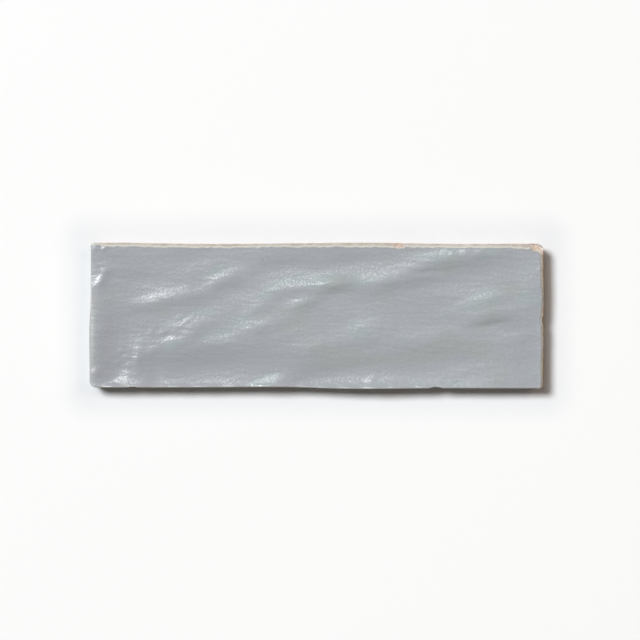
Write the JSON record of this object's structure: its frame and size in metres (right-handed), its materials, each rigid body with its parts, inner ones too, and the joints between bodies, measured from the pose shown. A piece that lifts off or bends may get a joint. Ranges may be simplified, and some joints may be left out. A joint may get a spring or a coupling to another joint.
{
  "type": "wall tile",
  "caption": "Glazed rectangular ceramic wall tile with a hand-pressed wavy face, rolled edges and a grooved back.",
  "frame": {"origin": "centre of the flat back face, on the surface that the tile lies on", "axes": "+X along the length, +Y across the width towards the bare rear edge, +Z out of the glazed face"},
  "size_m": [0.2003, 0.0645, 0.0105],
  "materials": {
    "glaze": "gloss grey-blue glaze over a cream biscuit that shows at the rear and right edges"
  },
  "bodies": {
    "root": {"wall_tile": "glaze"}
  },
  "joints": []
}
